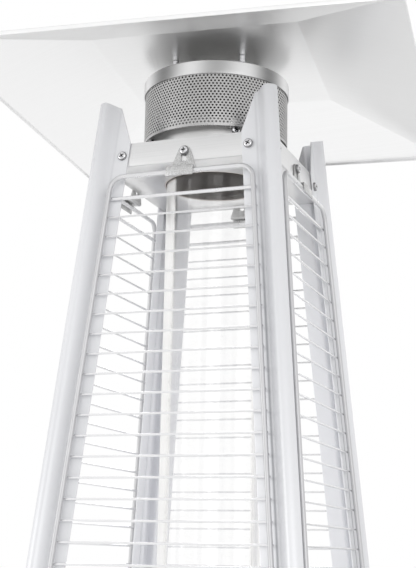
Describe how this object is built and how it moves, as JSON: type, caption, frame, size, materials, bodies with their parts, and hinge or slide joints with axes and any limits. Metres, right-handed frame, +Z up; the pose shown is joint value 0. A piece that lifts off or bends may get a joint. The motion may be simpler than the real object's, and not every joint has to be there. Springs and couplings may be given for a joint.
{
  "type": "pyramid patio heater",
  "caption": "Free-standing pyramid gas patio heater: leaning corner posts, wire guards round a glass flame tube, a cylinder cabinet with a hinged door and a square reflector on top.",
  "frame": {"origin": "on the floor, on the pyramid's upright centre line, at the middle of the base", "axes": "+Z up; the door and the controls face -Y; +X to the right as seen from the front"},
  "size_m": [0.556, 0.556, 2.204],
  "materials": {
    "coated_steel": "silver-grey coated sheet steel, satin",
    "brushed_steel": "brushed stainless sheet",
    "bright_aluminium": "bright, half-mirror",
    "bright_screws": "bright plated",
    "bright_wire": "satin plated wire",
    "heated_steel": "heat-tinted steel",
    "flame_glass": "clear, smooth",
    "brass": "machined",
    "black_plastic": "matt",
    "rubber": "matt",
    "white_ceramic": "glazed"
  },
  "bodies": {
    "frame": {"post_front_left": "coated_steel", "post_front_right": "coated_steel", "post_back_left": "coated_steel", "post_back_right": "coated_steel", "base_plate": "coated_steel", "foot_left": "rubber", "foot_right": "rubber", "axle_left": "bright_screws", "axle_right": "bright_screws", "cylinder_ring": "brushed_steel", "left_panel": "coated_steel", "right_panel": "coated_steel", "back_panel": "coated_steel", "control_panel": "brushed_steel", "deck": "brushed_steel", "hinge_lower": "bright_screws", "hinge_upper": "bright_screws", "magnet_catch": "black_plastic", "gas_valve": "brass", "igniter_body": "black_plastic", "gas_pipe": "brushed_steel", "burner_nozzle": "brass", "burner_cup": "heated_steel", "pilot_burner": "brass", "flame_sensor": "bright_screws", "spark_electrode": "white_ceramic", "tube_seal": "rubber", "glass_tube": "flame_glass", "front_guard": "bright_wire", "right_guard": "bright_wire", "back_guard": "bright_wire", "left_guard": "bright_wire", "top_tray": "brushed_steel", "front_clip_screw": "bright_screws", "right_clip_screw": "bright_screws", "back_clip_screw": "bright_screws", "left_clip_screw": "bright_screws", "screen_base": "heated_steel", "flame_screen": "brushed_steel", "screen_lid": "brushed_steel", "reflector": "bright_aluminium", "reflector_stud_1": "bright_screws", "reflector_stud_2": "bright_screws", "reflector_stud_3": "bright_screws", "reflector_stud_4": "bright_screws", "wing_nut_1": "bright_screws", "wing_nut_2": "bright_screws", "wing_nut_3": "bright_screws", "wing_nut_4": "bright_screws"},
    "door": {"door": "coated_steel", "door_handle": "bright_screws"},
    "valve_stem": {"valve_stem": "brass"},
    "control_knob": {"control_knob": "black_plastic"},
    "igniter_button": {"igniter_button": "bright_screws"},
    "wheel_left": {"wheel_left": "rubber"},
    "wheel_right": {"wheel_right": "rubber"},
    "front_clip": {"front_clip": "brushed_steel"},
    "right_clip": {"right_clip": "brushed_steel"},
    "back_clip": {"back_clip": "brushed_steel"},
    "left_clip": {"left_clip": "brushed_steel"}
  },
  "joints": [
    {"name": "door_swing", "type": "hinge", "parent": "frame", "child": "door", "pos_m": [-0.23822, -0.2623, 0.066], "axis": [-0.0839, -0.0839, -0.9929], "range_deg": [0, 110]},
    {"name": "valve_turn", "type": "hinge", "parent": "frame", "child": "valve_stem", "pos_m": [0, -0.20112, 0.72108], "axis": [0, -0.9964, 0.0842], "range_deg": [0, 180]},
    {"name": "knob_push", "type": "slide", "parent": "valve_stem", "child": "control_knob", "axis": [0, 0.9964, -0.0842], "range_m": [0, 0.004], "stiffness_N_per_m": 800, "springref_m": -0.004},
    {"name": "igniter_push", "type": "slide", "parent": "frame", "child": "igniter_button", "axis": [0, 0.9964, -0.0842], "range_m": [0, 0.006], "stiffness_N_per_m": 800, "springref_m": -0.004},
    {"name": "wheel_left_roll", "type": "hinge", "parent": "frame", "child": "wheel_left", "pos_m": [-0.175, 0.2465, 0.025], "axis": [1, 0, 0], "continuous": true},
    {"name": "wheel_right_roll", "type": "hinge", "parent": "frame", "child": "wheel_right", "pos_m": [0.175, 0.2465, 0.025], "axis": [1, 0, 0], "continuous": true},
    {"name": "front_clip_lift", "type": "slide", "parent": "frame", "child": "front_clip", "axis": [0, 0.0842, 0.9964], "range_m": [0, 0.0095]},
    {"name": "right_clip_lift", "type": "slide", "parent": "frame", "child": "right_clip", "axis": [-0.0842, 0, 0.9964], "range_m": [0, 0.0095]},
    {"name": "back_clip_lift", "type": "slide", "parent": "frame", "child": "back_clip", "axis": [0, -0.0842, 0.9964], "range_m": [0, 0.0095]},
    {"name": "left_clip_lift", "type": "slide", "parent": "frame", "child": "left_clip", "axis": [0.0842, 0, 0.9964], "range_m": [0, 0.0095]}
  ]
}
